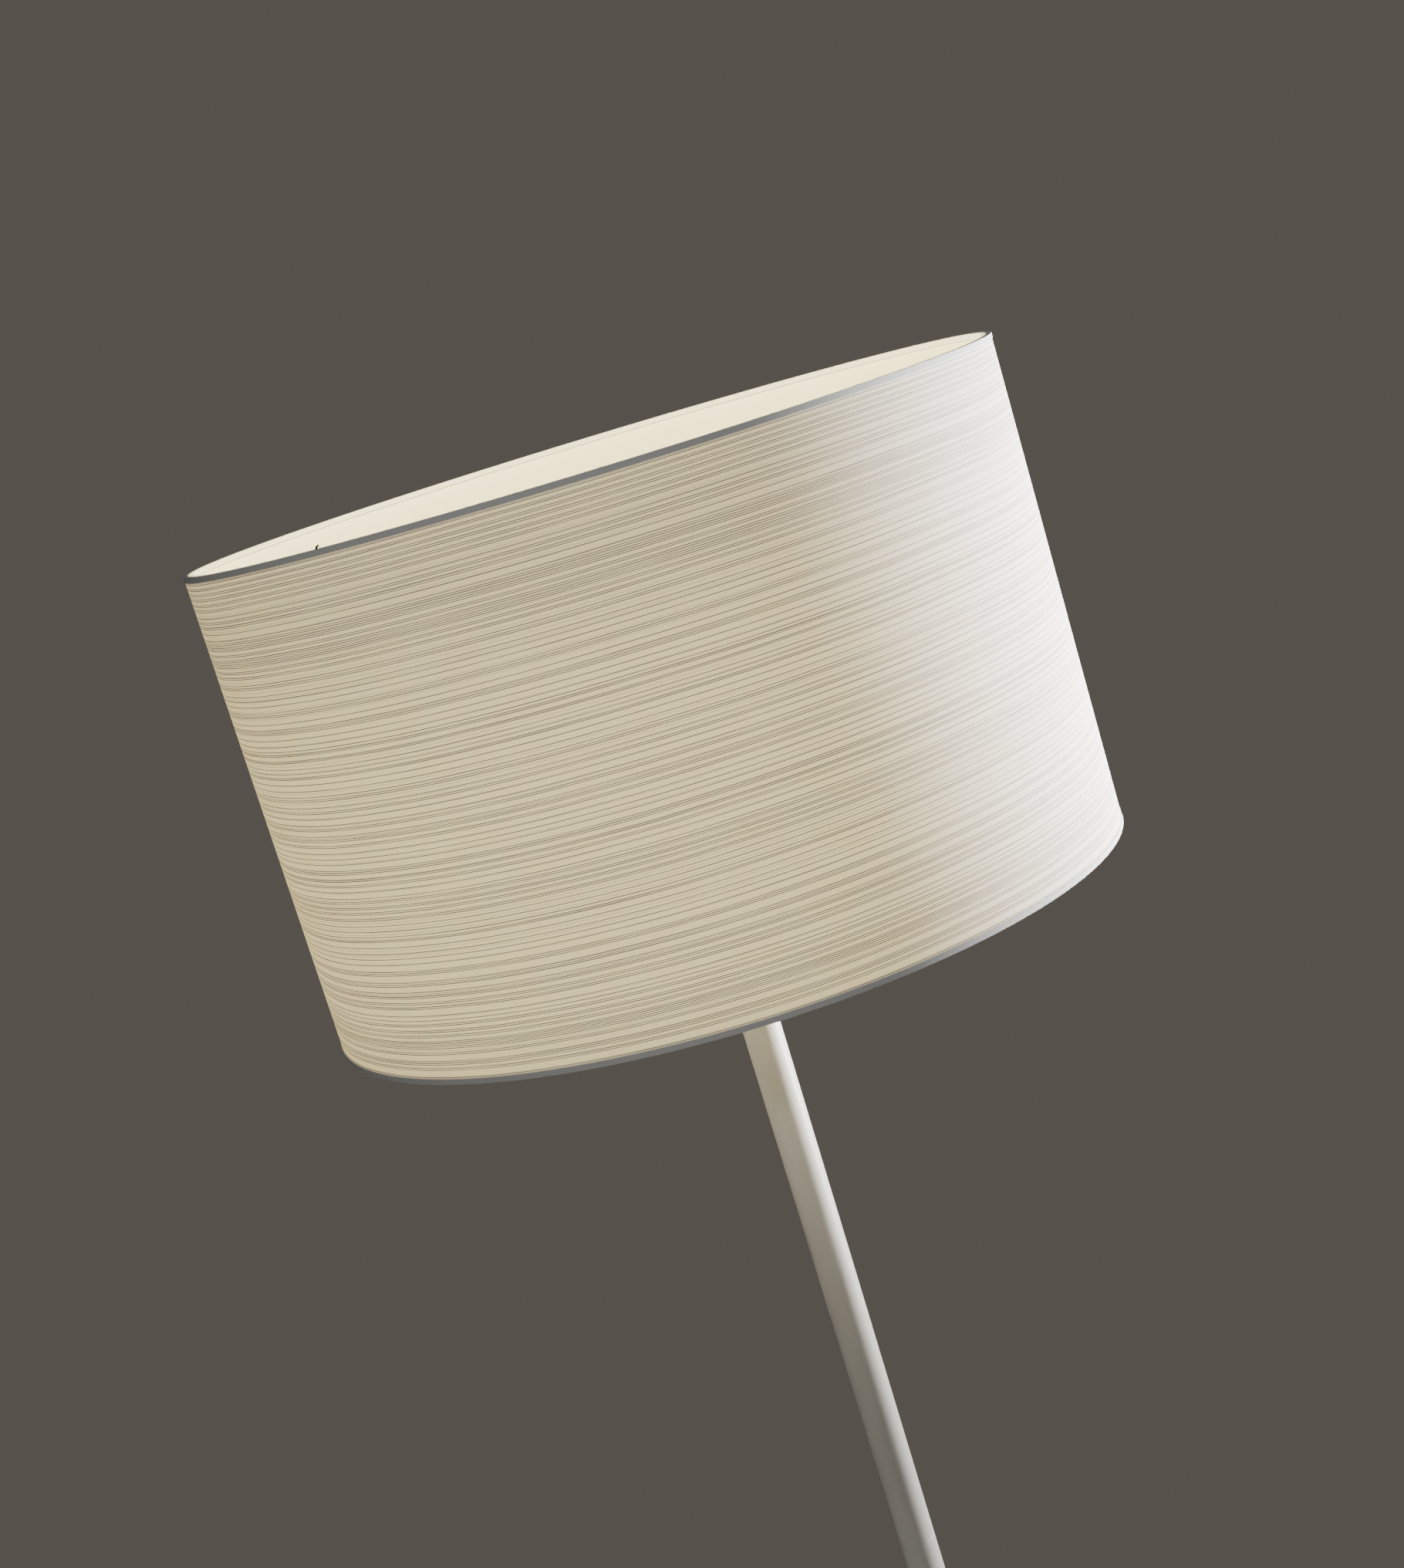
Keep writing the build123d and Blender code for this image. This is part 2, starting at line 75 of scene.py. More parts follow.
def shade_point(bearing, radius, height):
    """A point round the shade, bearing 0 on the raised side of its rim."""
    across = Vector((math.cos(lean), 0, math.sin(lean)))
    side = Vector((0, 1, 0))
    turned = across * math.cos(bearing) + side * math.sin(bearing)
    return shade_low + turned * radius + shade_axis * height


# ---------------------------------------------------------------- shader nodes
class Graph:
    """Short names for building one material's nodes."""

    def __init__(self, name):
        self.material = bpy.data.materials.new(name)
        self.material.use_nodes = True
        self.tree = self.material.node_tree
        self.shader = self.tree.nodes["Principled BSDF"]
        self.where = None

    def put(self, socket, value):
        if isinstance(value, bpy.types.NodeSocket):
            self.tree.links.new(value, socket)
        elif value is not None:
            socket.default_value = value

    def node(self, kind, inputs=(), **settings):
        made = self.tree.nodes.new("ShaderNode" + kind)
        for key, value in settings.items():
            setattr(made, key, value)
        for key, value in dict(inputs).items():
            self.put(made.inputs[key], value)
        return made

    def position(self):
        if self.where is None:
            self.where = self.node("TexCoord").outputs["Object"]
        return self.where

    def maths(self, operation, first, second=None):
        return self.node("Math", {0: first, 1: second}, operation=operation).outputs[0]

    def mapped(self, location=(0, 0, 0), rotation=(0, 0, 0), scale=(1, 1, 1)):
        inputs = {"Vector": self.position(), "Location": location, "Rotation": rotation, "Scale": scale}
        return self.node("Mapping", inputs).outputs[0]

    def distance(self, place):
        inputs = {0: self.position(), 1: place}
        return self.node("VectorMath", inputs, operation="DISTANCE").outputs["Value"]

    def split(self, vector):
        return self.node("SeparateXYZ", {0: vector}).outputs

    def joined(self, x, y, z=0.0):
        return self.node("CombineXYZ", {0: x, 1: y, 2: z}).outputs[0]

    def noise(self, scale, detail=2.0, roughness=0.5, vector=None):
        where = vector or self.position()
        inputs = {"Vector": where, "Scale": scale, "Detail": detail, "Roughness": roughness}
        return self.node("TexNoise", inputs).outputs[0]

    def line_cells(self, value, scale, randomness):
        inputs = {"W": value, "Scale": scale, "Randomness": randomness}
        return self.node("TexVoronoi", inputs, voronoi_dimensions="1D").outputs

    def ramp(self, value, low, high, to_low=0.0, to_high=1.0):
        """Value eased from low..high to to_low..to_high, and held outside that."""
        inputs = {"Value": value, "From Min": low, "From Max": high, "To Min": to_low, "To Max": to_high}
        return self.node("MapRange", inputs, interpolation_type="SMOOTHSTEP").outputs[0]

    def blend(self, factor, first, second, mode="MIX"):
        made = self.node("Mix", data_type="RGBA", blend_type=mode)
        self.put(made.inputs["Factor"], factor)
        self.put(made.inputs["A"], opaque(first))
        self.put(made.inputs["B"], opaque(second))
        return made.outputs["Result"]

    def dimmed(self, colour, level):
        """A colour times a level that changes over the surface."""
        return self.blend(1.0, colour, self.joined(level, level, level), "MULTIPLY")

    def bump(self, height, strength, distance, under=None):
        inputs = {"Height": height, "Strength": strength, "Distance": distance}
        if under is not None:
            inputs["Normal"] = under
        return self.node("Bump", inputs).outputs[0]

    def finish(self, **sockets):
        """Fill the shader's sockets, named with _ for each space, and hand over the material."""
        for key, value in sockets.items():
            self.put(self.shader.inputs[key.replace("_", " ")], opaque(value) if "Color" in key else value)
        return self.material


def opaque(colour):
    """A plain colour given its alpha; a socket is left as it is."""
    if isinstance(colour, (tuple, list)) and len(colour) == 3:
        return (*colour, 1.0)
    return colour


# ---------------------------------------------------------------- materials
def powder_coat(name, colour):
    """Satin white paint with a fine orange peel and faint handling marks."""
    g = Graph(name)
    cloud = g.noise(9.0, 3.0)
    handled = g.ramp(g.noise(38.0, 4.0, 0.62), 0.50, 0.72)
    tinted = g.blend(g.ramp(cloud, 0.3, 0.7), colour, [c * f for c, f in zip(colour, (0.985, 0.98, 0.965))])
    worn = g.blend(g.maths("MULTIPLY", handled, 0.10), tinted, [c * 0.88 for c in colour])
    peel = g.noise(620.0, 2.0, 0.45)
    grit = g.noise(2600.0, 1.0)
    under = g.bump(peel, 0.30, 0.00022)
    normal = g.bump(grit, 0.10, 0.00006, under)
    rough = g.ramp(handled, 0.0, 1.0, 0.36, 0.47)
    return g.finish(Base_Color=worn, Roughness=rough, Normal=normal, Coat_Weight=0.12, Coat_Roughness=0.30)


def moulded(name, colour, roughness):
    """Moulded plastic: fine spark grain and slight flow tint."""
    g = Graph(name)
    flow = g.noise(60.0, 3.0)
    tinted = g.blend(g.ramp(flow, 0.35, 0.7), colour, [c * 0.94 for c in colour])
    rough = g.ramp(g.noise(210.0, 3.0), 0.3, 0.7, roughness - 0.05, roughness + 0.07)
    normal = g.bump(g.noise(2700.0, 2.0), 0.22, 0.00008)
    return g.finish(Base_Color=tinted, Roughness=rough, Normal=normal)


def rubber(name, colour):
    """Matt pale rubber with a little dust in its grain."""
    g = Graph(name)
    dust = g.ramp(g.noise(120.0, 5.0, 0.65), 0.45, 0.75)
    tinted = g.blend(g.maths("MULTIPLY", dust, 0.5), colour, [c * 0.80 for c in colour])
    normal = g.bump(g.noise(1500.0, 3.0), 0.35, 0.00012)
    rough = g.ramp(dust, 0.0, 1.0, 0.66, 0.86)
    return g.finish(Base_Color=tinted, Roughness=rough, Normal=normal)


def metal(name, colour, roughness):
    """Bare or plated metal with fine turning marks and a little dulling."""
    g = Graph(name)
    marks = g.noise(1.0, 3.0, 0.6, g.mapped(scale=(1400.0, 1400.0, 60.0)))
    dull = g.ramp(g.noise(150.0, 4.0), 0.4, 0.75)
    tinted = g.blend(g.maths("MULTIPLY", dull, 0.45), colour, [c * 0.72 for c in colour])
    turned = g.ramp(marks, 0.3, 0.7, roughness - 0.06, roughness + 0.08)
    rough = g.maths("ADD", turned, g.maths("MULTIPLY", dull, 0.08))
    normal = g.bump(marks, 0.18, 0.00005)
    return g.finish(Base_Color=tinted, Roughness=rough, Normal=normal, Metallic=1.0)


def ceramic(name, colour):
    """Unglazed ceramic with a fine dark speck."""
    g = Graph(name)
    speck = g.ramp(g.noise(800.0, 3.0, 0.7), 0.62, 0.74)
    tinted = g.blend(g.maths("MULTIPLY", speck, 0.35), colour, [c * 0.7 for c in colour])
    normal = g.bump(g.noise(500.0, 4.0), 0.3, 0.00012)
    return g.finish(Base_Color=tinted, Roughness=g.ramp(speck, 0.0, 1.0, 0.55, 0.7), Normal=normal)


# ---------------------------------------------------------------- the shade's paper, with its sizes in mm
LINE_GROUP = 2.7
LINE_SPACING = 0.85
LINE_MOST = 3.25          # lines in a group, rounded down: 1, 2 or, least often, 3
LINE_EDGE = (0.09, 0.24)
FAINT_SPACING = 3.1
FAINT_EDGE = (0.06, 0.19)
WIRE_SHADOW = (1.6, 4.0)


def shade_coordinates(g):
    """Arc length round the shade from its seam and height up it, in mm, and the point in the shade's axes."""
    turn = Matrix.Rotation(math.pi - seam_bearing, 3, "Z") @ Matrix.Rotation(lean, 3, "Y")
    local = g.mapped(location=-(turn @ shade_low), rotation=turn.to_euler())
    x, y, z = g.split(local)
    arc = g.maths("MULTIPLY", g.maths("ARCTAN2", y, x), shade_radius / MM)
    return arc, g.maths("DIVIDE", z, MM), local


def drawn_lines(g, arc, height):
    """Fine pencil-like lines round the shade in ones to threes, each fading and darkening along its run."""
    flat = g.joined(arc, height)
    sway = g.maths("MULTIPLY", g.maths("SUBTRACT", g.noise(0.010, 1.0, vector=flat), 0.5), 1.1)
    level = g.maths("ADD", height, sway)
    group = g.line_cells(level, 1 / LINE_GROUP, 0.62)
    away = g.maths("MULTIPLY", group["Distance"], LINE_GROUP)
    pick = g.split(group["Color"])
    count = g.maths("ADD", 1.0, g.maths("FLOOR", g.maths("MULTIPLY", pick[0], LINE_MOST - 1)))
    even = g.maths("SUBTRACT", 1.0, g.maths("MODULO", count, 2.0))
    half = LINE_SPACING / 2
    phase = g.maths("ADD", away, g.maths("MULTIPLY", even, half))
    off_line = g.maths("PINGPONG", phase, half)
    reach = g.maths("ADD", g.maths("MULTIPLY", g.maths("SUBTRACT", count, 1.0), half), half * 0.6)
    inside = g.maths("LESS_THAN", away, reach)
    stroke = g.maths("MULTIPLY", g.ramp(off_line, *LINE_EDGE, 1.0, 0.0), inside)
    run = g.joined(g.maths("MULTIPLY", arc, 0.020), g.maths("MULTIPLY", level, 1.35))
    weight = g.ramp(g.noise(1.0, 3.0, 0.62, run), 0.34, 0.66, 0.78, 1.18)
    dark_run = g.joined(g.maths("MULTIPLY", arc, 0.008), g.maths("MULTIPLY", level, 1.1), 40.0)
    dark = g.ramp(g.noise(1.0, 2.0, 0.5, dark_run), 0.60, 0.70, 0.0, 0.75)
    single = g.line_cells(g.maths("ADD", level, 500.0), 1 / FAINT_SPACING, 1.0)
    faint = g.ramp(g.maths("MULTIPLY", single["Distance"], FAINT_SPACING), *FAINT_EDGE, 0.42, 0.0)
    line = g.maths("MAXIMUM", g.maths("MULTIPLY", stroke, g.maths("ADD", weight, dark)), faint)
    tooth = g.noise(1.7, 3.0, 0.7, g.joined(arc, g.maths("MULTIPLY", height, 2.0)))
    return g.maths("MULTIPLY", line, g.ramp(tooth, 0.30, 0.60, 0.70, 1.0))


def lamp_glow(g, height):
    """How strongly the bulb lights a point of the shade from inside: evenly round it, least behind a wire."""
    reached = g.ramp(g.distance(bulb_centre), shade_radius * 0.98, shade_radius * 1.20, 0.91, 0.72)
    from_edge = g.maths("MINIMUM", height, g.maths("SUBTRACT", shade_height / MM, height))
    return g.maths("MULTIPLY", reached, g.ramp(from_edge, *WIRE_SHADOW, 0.20, 1.0))


def shade_paper(name):
    """Off-white textured paper, its drawn lines showing darker against the light inside."""
    g = Graph(name)
    arc, height, _ = shade_coordinates(g)
    line = drawn_lines(g, arc, height)
    flat = g.joined(arc, height)
    speckle = g.noise(1.9, 4.0, 0.72, flat)
    fibre = g.noise(1.0, 3.0, 0.6, g.joined(g.maths("MULTIPLY", arc, 0.45), g.maths("MULTIPLY", height, 2.6)))
    tint = g.noise(0.050, 2.0, 0.55, g.joined(arc, g.maths("MULTIPLY", height, 1.6)))
    paper = g.blend(g.ramp(speckle, 0.30, 0.70), (0.74, 0.745, 0.725), (0.86, 0.865, 0.85))
    paper = g.blend(g.maths("MULTIPLY", g.ramp(fibre, 0.5, 0.75), 0.12), paper, (0.88, 0.88, 0.87))
    pink = g.blend(g.ramp(tint, 0.48, 0.64, 0.0, 0.34), paper, (0.87, 0.805, 0.785))
    inked = g.blend(g.maths("MULTIPLY", line, 0.88), pink, (0.30, 0.285, 0.27))
    warm = g.blend(g.ramp(tint, 0.42, 0.64), (0.975, 0.745, 0.395), (1.0, 0.715, 0.375))
    through = g.ramp(speckle, 0.25, 0.75, 0.74, 1.22)
    shadowed = g.maths("SUBTRACT", 1.0, g.maths("MINIMUM", line, 0.97))
    level = g.maths("MULTIPLY", g.maths("MULTIPLY", through, shadowed), lamp_glow(g, height))
    glow = g.dimmed(warm, level)
    surface = g.maths("ADD", g.maths("MULTIPLY", speckle, 0.6), g.maths("MULTIPLY", fibre, 0.5))
    under = g.bump(surface, 0.38, 0.00016)
    normal = g.bump(line, 0.20, 0.00010, under)
    return g.finish(
        Base_Color=inked, Roughness=0.86, Normal=normal, Specular_IOR_Level=0.22, Sheen_Weight=0.05,
        Emission_Color=glow, Emission_Strength=0.90,
    )


def shade_lining(name):
    """Smooth warm-white lining, with the bulb's light on it painted in as a glow that is brighter towards the
    top.
    """
    g = Graph(name)
    arc, height, _ = shade_coordinates(g)
    cloud = g.noise(0.03, 3.0, 0.5, g.joined(arc, height))
    colour = g.blend(g.ramp(cloud, 0.3, 0.7), (0.86, 0.845, 0.80), (0.89, 0.875, 0.83))
    normal = g.bump(g.noise(0.5, 3.0, 0.6, g.joined(arc, height)), 0.10, 0.0001)
    # painted light: the bulb's light on the lining, strongest towards the top rim and weak low down
    level = g.ramp(height, 0.35 * shade_height / MM, 0.85 * shade_height / MM, 0.18, 1.0)
    glow = g.dimmed((1.0, 0.81, 0.45), level)
    return g.finish(
        Base_Color=colour, Roughness=0.62, Normal=normal,
        Emission_Color=glow, Emission_Strength=1.15,
    )


def edging(name):
    """White paper folded over the wire: no light comes through it, and its inner fold has the bulb's light
    painted on as a glow.
    """
    g = Graph(name)
    arc, height, local = shade_coordinates(g)
    x, y, _ = g.split(local)
    radius = g.maths("SQRT", g.maths("ADD", g.maths("MULTIPLY", x, x), g.maths("MULTIPLY", y, y)))
    flat = g.joined(arc, height)
    drawn_out = g.joined(g.maths("MULTIPLY", arc, 0.9), g.maths("MULTIPLY", height, 0.25))
    crease = g.noise(1.0, 3.0, 0.7, drawn_out)
    speckle = g.noise(2.4, 4.0, 0.7, flat)
    colour = g.blend(g.ramp(speckle, 0.3, 0.7), (0.72, 0.725, 0.715), (0.82, 0.825, 0.815))
    rubbed = g.blend(g.ramp(crease, 0.55, 0.75, 0.0, 0.4), colour, (0.62, 0.60, 0.56))
    surface = g.maths("ADD", g.maths("MULTIPLY", crease, 0.8), g.maths("MULTIPLY", speckle, 0.5))
    normal = g.bump(surface, 0.5, 0.00022)
    # painted light: the bulb's light on the inner fold, fading out towards the outer face
    level = g.ramp(radius, shade_radius - 3.2 * MM, shade_radius - 1.6 * MM, 1.0, 0.0)
    glow = g.dimmed((1.0, 0.84, 0.54), level)
    return g.finish(
        Base_Color=rubbed, Roughness=0.82, Normal=normal,
        Emission_Color=glow, Emission_Strength=1.3,
    )


def fibre_paper(name):
    """Torn paper fibre, browner than the sheet it comes from."""
    g = Graph(name)
    mottled = g.ramp(g.noise(900.0, 3.0), 0.35, 0.65)
    colour = g.blend(mottled, (0.50, 0.42, 0.33), (0.70, 0.63, 0.53))
    return g.finish(Base_Color=colour, Roughness=0.9, Normal=g.bump(mottled, 0.4, 0.00005))


def lit_opal(name):
    """Opal glass lit from inside, a little brighter at its widest."""
    g = Graph(name)
    core = g.ramp(g.distance(bulb_centre), 28 * MM, 62 * MM, 1.0, 0.45)
    cloud = g.ramp(g.noise(70.0, 3.0), 0.3, 0.7, 0.94, 1.0)
    glow = g.dimmed((1.0, 0.86, 0.62), g.maths("MULTIPLY", core, cloud))
    colour = g.blend(cloud, (0.90, 0.87, 0.80), (0.94, 0.92, 0.86))
    return g.finish(
        Base_Color=colour, Roughness=0.35, Coat_Weight=0.4, Coat_Roughness=0.12,
        Emission_Color=glow, Emission_Strength=6.0,
    )


# ---------------------------------------------------------------- what each slot is made of
WHITE_PAINT = (0.82, 0.80, 0.765)
WHITE_PLASTIC = (0.82, 0.81, 0.78)
materials = {
    "white_metal": powder_coat("powder_coat", WHITE_PAINT),
    "wire_white": powder_coat("painted_wire", WHITE_PAINT),
    "bolt_steel": powder_coat("painted_bolt", (0.78, 0.775, 0.755)),
    "joint_steel": metal("zinc_plate", (0.62, 0.62, 0.63), 0.36),
    "contact_brass": metal("brass", (0.80, 0.60, 0.30), 0.30),
    "bulb_metal": metal("bulb_aluminium", (0.78, 0.78, 0.77), 0.28),
    "nylon": moulded("nylon", WHITE_PLASTIC, 0.48),
    "holder_plastic": moulded("holder_plastic", WHITE_PLASTIC, 0.40),
    "switch_plastic": moulded("switch_plastic", WHITE_PLASTIC, 0.30),
    "bulb_insulator": moulded("black_glass", (0.02, 0.02, 0.022), 0.20),
    "foot_rubber": rubber("foot_rubber", (0.70, 0.69, 0.66)),
    "grommet": rubber("grommet_rubber", (0.74, 0.73, 0.70)),
    "holder_ceramic": ceramic("steatite", (0.82, 0.81, 0.77)),
    "shade_paper": shade_paper("shade_paper"),
    "shade_lining": shade_lining("shade_lining"),
    "shade_edging": edging("shade_edging"),
    "bulb_opal": lit_opal("opal_glass"),
}


def dress_nodes():
    """Give every CAD node its slot's material."""
    for part in frame["record"]["subparts"]:
        node = frame["nodes"][part["node"]]
        for slot in node.material_slots:
            slot.material = materials[part["material_slot"]]


dress_nodes()
frame["nodes"]["bulb_glass"].visible_shadow = False     # lets out the light placed inside it


# ---------------------------------------------------------------- fine pieces, all on the standing body
top_edge = shade_height + trim_thickness
bottom_edge = -trim_thickness
thread_bearing = math.radians(203.0)
lap_half_length = 5.5 * MM
lap_bedded = 0.02 * MM
lap_proud = 0.14 * MM
weld_by_hub = (27.2 * MM, 32.3 * MM)                     # radius and height of a weld
weld_by_wire = (shade_radius - 4.4 * MM, 2.1 * MM)


def piece(made, name, material):
    """One shown piece from a finished bmesh."""
    mesh = bpy.data.meshes.new(name)
    made.to_mesh(mesh)
    made.free()
    mesh.materials.append(material)
    for face in mesh.polygons:
        face.use_smooth = True
    made_object = bpy.data.objects.new(name, mesh)
    bpy.context.scene.collection.objects.link(made_object)
    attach(made_object, "stand")


def thread(made, path, radii, sides=5):
    """A closed round strand along a path of points, as thick at each point as its radius says."""
    rings = []
    for index, point in enumerate(path):
        ahead = path[min(index + 1, len(path) - 1)] - path[max(index - 1, 0)]
        turn = ahead.to_track_quat("Z", "Y")
        around = [2 * math.pi * side / sides for side in range(sides)]
        offsets = [Vector((math.cos(a), math.sin(a), 0)) * radii[index] for a in around]
        rings.append([made.verts.new(point + turn @ offset) for offset in offsets])
    for low, high in zip(rings, rings[1:]):
        for side in range(sides):
            after = (side + 1) % sides
            made.faces.new((low[side], low[after], high[after], high[side]))
    made.faces.new(rings[0][::-1])
    made.faces.new(rings[-1])


def rim_fray(name, edge, outward, count, seed):
    """Short torn fibres lying along an edge of the shade, thickest round the seam."""
    pick = random.Random(seed)
    made = bmesh.new()
    for _ in range(count):
        spread = pick.gauss(0, 0.5) if pick.random() < 0.35 else pick.uniform(-math.pi, math.pi)
        bearing = seam_bearing + spread
        radius = trim_radius - pick.uniform(0.2, 3.6) * MM
        length = pick.uniform(0.8, 2.8) * MM / radius * pick.choice((-1, 1))
        rise = pick.uniform(0.05, 0.55) * MM
        drift = pick.uniform(-0.5, 0.5) * MM
        path = []
        for step in range(4):
            along = step / 3
            lift = outward * (rise * math.sin(along * math.pi * 0.8) - 0.03 * MM)
            path.append(shade_point(bearing + length * along, radius + drift * along, edge + lift))
        thick = pick.uniform(0.03, 0.08) * MM
        thread(made, path, [thick, thick, thick * 0.8, thick * 0.3], 4)
    piece(made, name, fibre)


def rim_thread():
    """A caught end of dark thread standing on the upper rim, on its low side."""
    made = bmesh.new()
    radius = trim_radius - 0.5 * MM
    shape = ((0.0, -0.1), (0.2, 0.7), (0.9, 1.2), (1.7, 1.5), (2.2, 1.0))
    path = []
    for run, rise in shape:
        path.append(shade_point(thread_bearing + run * MM / radius, radius, top_edge + rise * MM))
    thread(made, path, [r * MM for r in (0.55, 0.50, 0.42, 0.30, 0.12)], 7)
    piece(made, "rim_thread", dark_thread)


def trim_lap(name, low, high):
    """The edging's end, lapped over its start at the seam."""
    made = bmesh.new()
    steps = 12
    half = lap_half_length / trim_radius
    rows = []
    for step in range(steps + 1):
        bearing = seam_bearing + half * (2 * step / steps - 1)
        inside = trim_radius - lap_bedded
        outside = trim_radius + lap_proud
        corners = ((inside, low), (outside, low), (outside, high), (inside, high))
        rows.append([made.verts.new(shade_point(bearing, radius, height)) for radius, height in corners])
    for before, after in zip(rows, rows[1:]):
        for side in range(4):
            following = (side + 1) % 4
            made.faces.new((before[side], before[following], after[following], after[side]))
    made.faces.new(rows[0])
    made.faces.new(rows[-1][::-1])
    bmesh.ops.recalc_face_normals(made, faces=made.faces)
    piece(made, name, materials["shade_edging"])


def arm_welds():
    """A lumpy bead of weld under the paint at both ends of each of the fitter's arms."""
    pick = random.Random(41)
    made = bmesh.new()
    stations = (-0.6, 0.4, 1.2, 2.0, 2.6, 3.1)
    bulge = (1.9, 2.45, 2.55, 2.3, 1.95, 1.62)
    for arm in range(fitter_arms):
        bearing = 2 * math.pi * arm / fitter_arms
        inner = shade_point(bearing, *weld_by_hub)
        outer = shade_point(bearing, *weld_by_wire)
        along = (outer - inner).normalized()
        for end, direction in ((inner, along), (outer, -along)):
            path = [end + direction * station * MM for station in stations]
            thread(made, path, [r * MM * pick.uniform(0.95, 1.05) for r in bulge], 14)
    piece(made, "arm_welds", materials["wire_white"])


fibre = fibre_paper("paper_fibre")
dark_thread = moulded("dark_thread", (0.03, 0.028, 0.027), 0.8)
rim_fray("top_rim_fray", top_edge, outward=1, count=420, seed=7)
rim_fray("bottom_rim_fray", bottom_edge, outward=-1, count=60, seed=19)
rim_thread()
trim_lap("top_trim_lap", shade_height - trim_height, top_edge)
trim_lap("bottom_trim_lap", bottom_edge, trim_height)
arm_welds()


# ---------------------------------------------------------------- studio
FLOOR_RADIUS = 1.15
FLOOR_DROP = 0.5 * MM
VIEW_AZIMUTH = math.radians(-32.235)
VIEW_PITCH = math.radians(0.165)
VIEW_ROLL = math.radians(0.215)
VIEW_LENS = 56.09
NEAR_WHITE = (1.0, 0.99, 0.98)
WARM_WHITE = (1.0, 0.975, 0.925)
COOL_WHITE = (0.95, 0.98, 1.0)
FLOOR_WHITE = (1.0, 0.99, 0.97)
BULB_GLOW = (1.0, 0.82, 0.54)
BACKDROP_SEEN = (0.076, 0.067, 0.057, 1)
BACKDROP_CAST = (0.030, 0.030, 0.031, 1)

forward = Vector((-math.sin(VIEW_AZIMUTH), math.cos(VIEW_AZIMUTH), 0))
right = Vector((math.cos(VIEW_AZIMUTH), math.sin(VIEW_AZIMUTH), 0))
up = Vector((0, 0, 1))


def beside(place, to_right, to_back, to_top):
    """A point set off from a place along the camera's level axes."""
    return place + right * to_right + forward * to_back + up * to_top


def floor():
    """A pale disc just under the feet."""
    mesh = bpy.data.meshes.new("studio_floor")
    made = bmesh.new()
    bmesh.ops.create_circle(made, cap_ends=True, segments=96, radius=FLOOR_RADIUS)
    made.to_mesh(mesh)
    made.free()
    disc = bpy.data.objects.new("studio_floor", mesh)
    bpy.context.scene.collection.objects.link(disc)
    disc.location = (0, 0, -FLOOR_DROP)
    g = Graph("studio_floor")
    tone = g.blend(g.ramp(g.noise(3.0, 3.0), 0.3, 0.7), (0.62, 0.61, 0.59), (0.66, 0.65, 0.63))
    mesh.materials.append(g.finish(Base_Color=tone, Roughness=0.7))


def light(name, kind, place, power, colour, target=None):
    """A light of one kind, turned to face its target."""
    data = bpy.data.lights.new(name, kind)
    data.energy = power
    data.color = colour
    made = bpy.data.objects.new(name, data)
    made.location = place
    if target is not None:
        made.rotation_euler = (target - place).to_track_quat("-Z", "Y").to_euler()
    bpy.context.scene.collection.objects.link(made)
    return made


def area_light(name, place, target, size, power, colour):
    """A soft rectangle of light that the camera doesn't see."""
    made = light(name, "AREA", place, power, colour, target)
    made.data.shape = "RECTANGLE"
    made.data.size, made.data.size_y = size
    made.visible_camera = False


def spot_light(name, place, target, angle, power, colour, softness=0.12, edge=0.45):
    """A soft-edged lamp narrowed to one part of the object."""
    made = light(name, "SPOT", place, power, colour, target)
    made.data.shadow_soft_size = softness
    made.data.spot_size = math.radians(angle)
    made.data.spot_blend = edge


def bulb_light():
    """The light that the bulb gives to the inside of its shade."""
    made = light("bulb_light", "POINT", bulb_centre, 0.5, BULB_GLOW)
    made.data.shadow_soft_size = 28 * MM


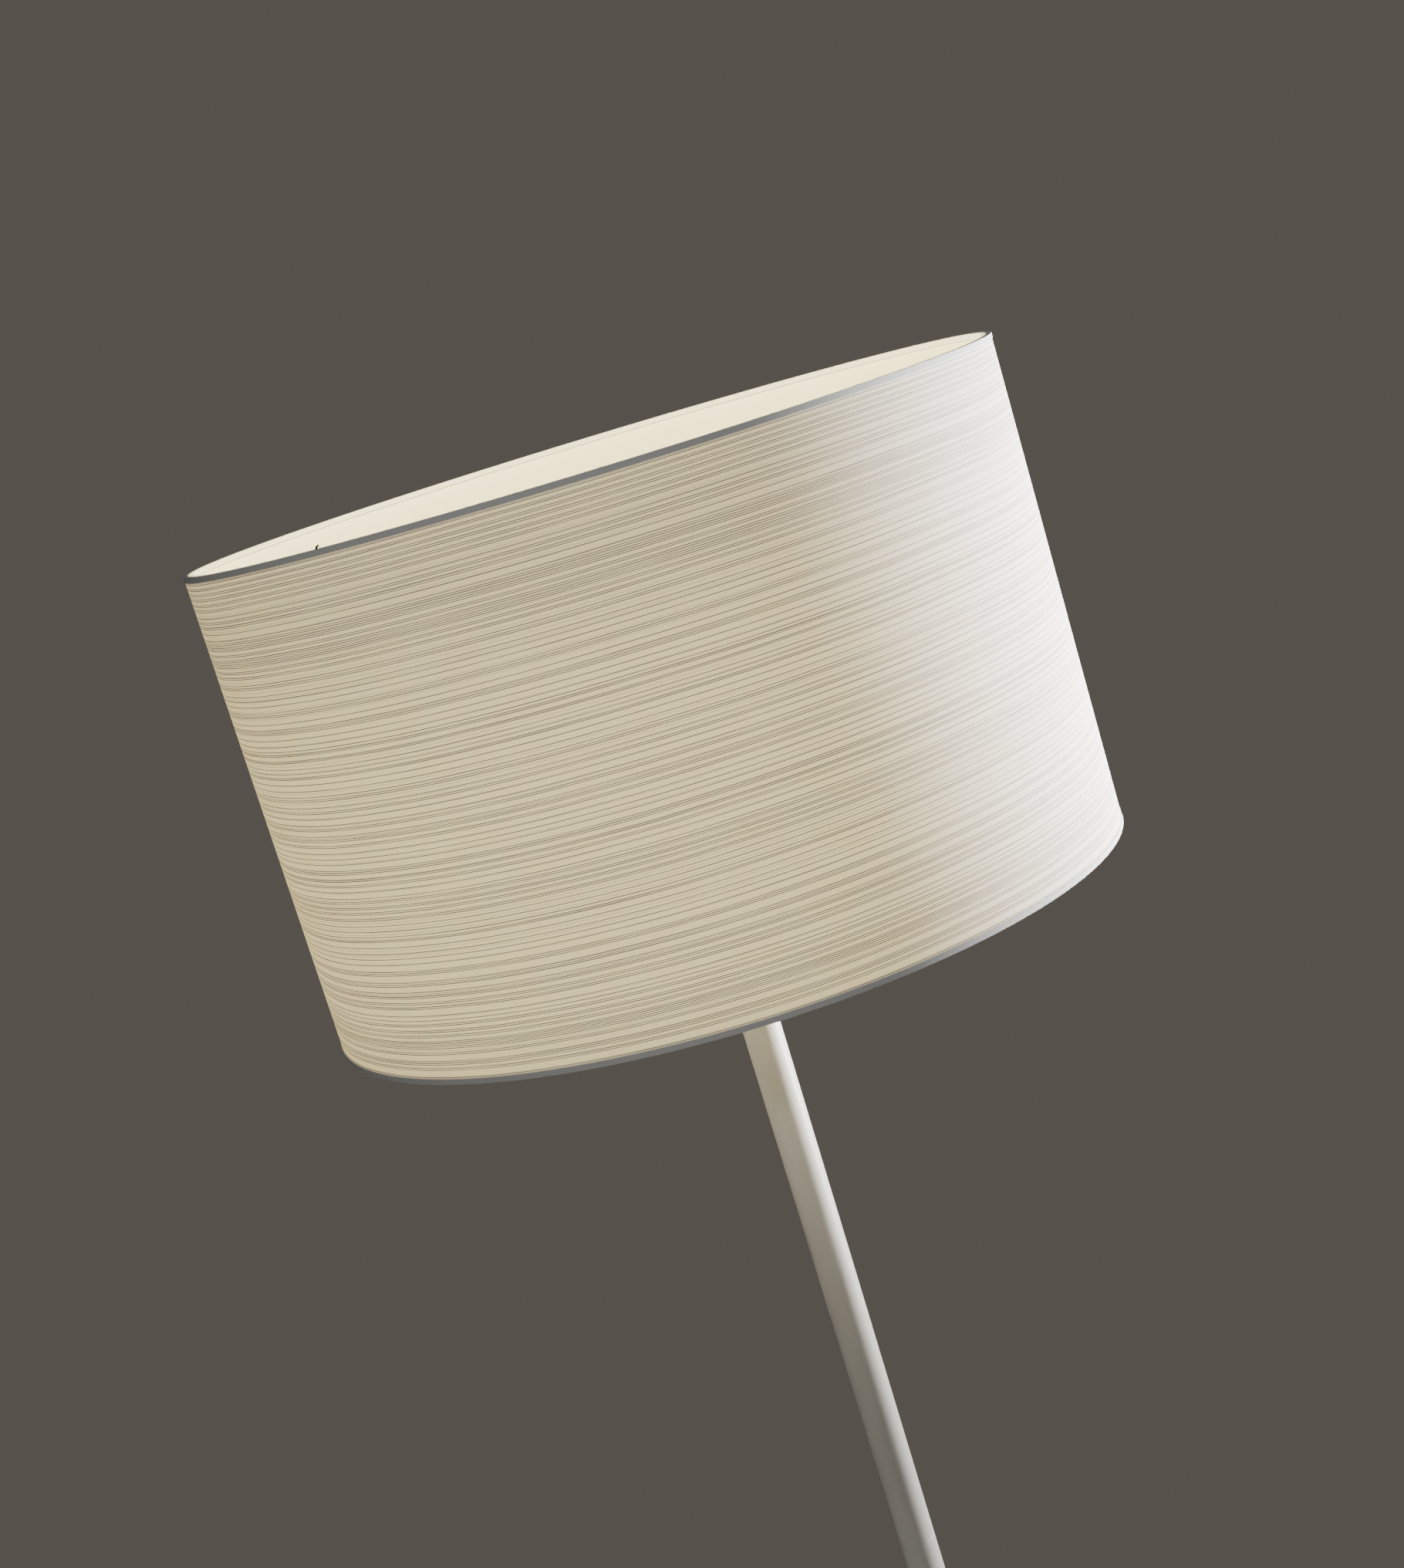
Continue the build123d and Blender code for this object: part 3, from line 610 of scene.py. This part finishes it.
def camera():
    """Nearly level, a little under the shade's upper rim and 1.19 m in front of it."""
    data = bpy.data.cameras.new("camera")
    data.lens = VIEW_LENS
    data.sensor_width = 36.0
    data.clip_start = 0.01
    view = bpy.data.objects.new("camera", data)
    place = beside(shade_high, 0.0569, -1.1918, -0.1649)
    turn = Matrix.Rotation(VIEW_AZIMUTH, 4, "Z") @ Matrix.Rotation(math.pi / 2 + VIEW_PITCH, 4, "X")
    view.matrix_world = Matrix.Translation(place) @ turn @ Matrix.Rotation(VIEW_ROLL, 4, "Z")
    bpy.context.scene.collection.objects.link(view)
    bpy.context.scene.camera = view


def backdrop():
    """A dim warm-grey surround that lights the lamp a little cooler than it looks."""
    world = bpy.data.worlds.new("studio")
    world.use_nodes = True
    tree = world.node_tree
    seen = tree.nodes["Background"]
    seen.inputs["Color"].default_value = BACKDROP_SEEN
    cast = tree.nodes.new("ShaderNodeBackground")
    cast.inputs["Color"].default_value = BACKDROP_CAST
    path = tree.nodes.new("ShaderNodeLightPath")
    chosen = tree.nodes.new("ShaderNodeMixShader")
    tree.links.new(path.outputs["Is Camera Ray"], chosen.inputs[0])
    tree.links.new(cast.outputs[0], chosen.inputs[1])
    tree.links.new(seen.outputs[0], chosen.inputs[2])
    tree.links.new(chosen.outputs[0], tree.nodes["World Output"].inputs["Surface"])
    bpy.context.scene.world = world
    bpy.context.scene.view_settings.view_transform = "Filmic"


def lighting():
    """A key at the shade's right, a soft light from the front, two soft spots on the legs, and the bulb."""
    shade = (rim_top + rim_bottom) / 2
    key = beside(shade, 0.88, 0.19, 0.14)
    area_light("key", key, shade, (0.26, 0.8), 15.0, NEAR_WHITE)
    spot_light("key_spot", key, shade, 40, 66.0, NEAR_WHITE)
    area_light("front", beside(shade, -0.6, -1.5, 1.2), shade, (1.4, 1.2), 0.9, COOL_WHITE)
    spot_light("front_spot", beside(shade, -0.20, -2.3, 0.45), shade, 17, 30.0, WARM_WHITE)
    legs = Vector((shade.x + 0.35, 0, 0.20))
    spot_light("legs_front", beside(legs, -1.0, -1.9, 1.05), legs, 26, 105.0, FLOOR_WHITE, 0.3, 0.9)
    spot_light("legs_back", beside(legs, 1.0, 1.9, 1.05), legs, 26, 90.0, FLOOR_WHITE, 0.3, 0.9)
    bulb_light()


floor()
camera()
backdrop()
lighting()
